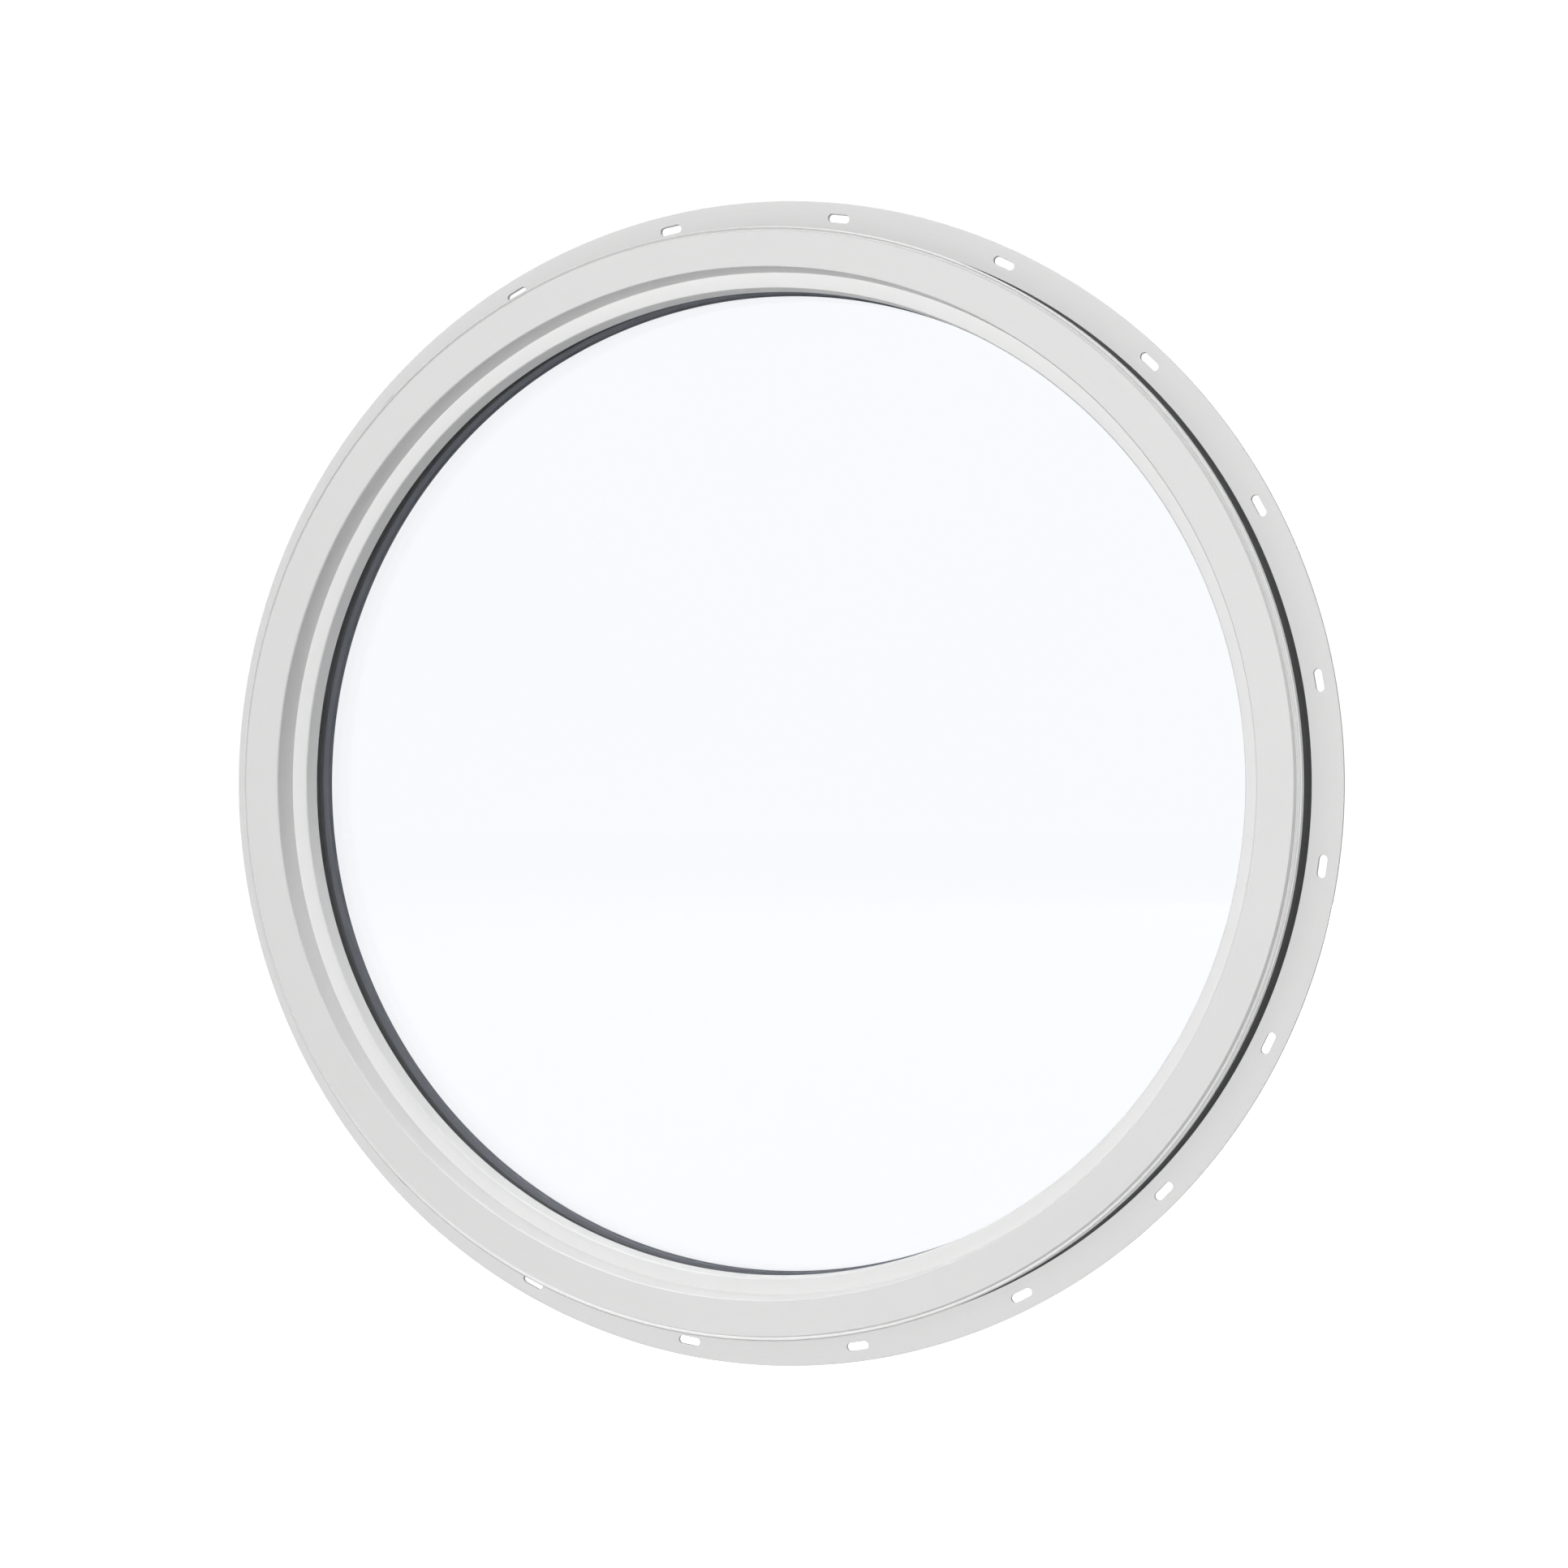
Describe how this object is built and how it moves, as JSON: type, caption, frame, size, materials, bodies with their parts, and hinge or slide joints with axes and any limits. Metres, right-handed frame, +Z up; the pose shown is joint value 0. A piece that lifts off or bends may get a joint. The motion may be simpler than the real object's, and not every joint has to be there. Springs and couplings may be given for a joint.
{
  "type": "round fixed window with nail fin",
  "caption": "Round fixed window: hollow vinyl ring frame with a slotted nail fin, sealing strip, stepped glazing stop and a double-glazed unit held by a bevelled bead.",
  "frame": {"origin": "on the window's axis, in the plane of the nail fin's back face", "axes": "+Y along the window's axis, from outdoors to the room; +Z up; +X to the right as seen from outdoors"},
  "size_m": [0.646, 0.0826, 0.6459],
  "materials": {
    "vinyl": "smooth white extruded vinyl, satin gloss",
    "fin_vinyl": "white flexible vinyl strip, satin",
    "bead_vinyl": "smooth white extruded vinyl, satin gloss",
    "sealing_strip": "matt black closed-cell rubber",
    "black_gasket": "satin black extruded rubber",
    "grey_gasket": "satin dark grey extruded rubber",
    "glass": "clear float glass",
    "butyl": "black butyl sealant",
    "spacer": "matt black warm-edge spacer",
    "drying_beads": "molecular sieve beads",
    "spacer_key": "moulded nylon",
    "edge_sealant": "black polysulphide sealant",
    "setting_block": "hard black moulded block",
    "location_block": "grey moulded block"
  },
  "bodies": {
    "root": {"frame": "vinyl", "nail_fin": "fin_vinyl", "fin_gasket": "sealing_strip", "outer_glazing_gasket": "black_gasket", "outer_pane": "glass", "outer_butyl_seal": "butyl", "spacer_bar": "spacer", "desiccant": "drying_beads", "spacer_key": "spacer_key", "inner_butyl_seal": "butyl", "edge_seal": "edge_sealant", "inner_pane": "glass", "inner_glazing_gasket": "grey_gasket", "glazing_bead": "bead_vinyl", "setting_blocks": "setting_block", "location_blocks": "location_block"}
  },
  "joints": []
}
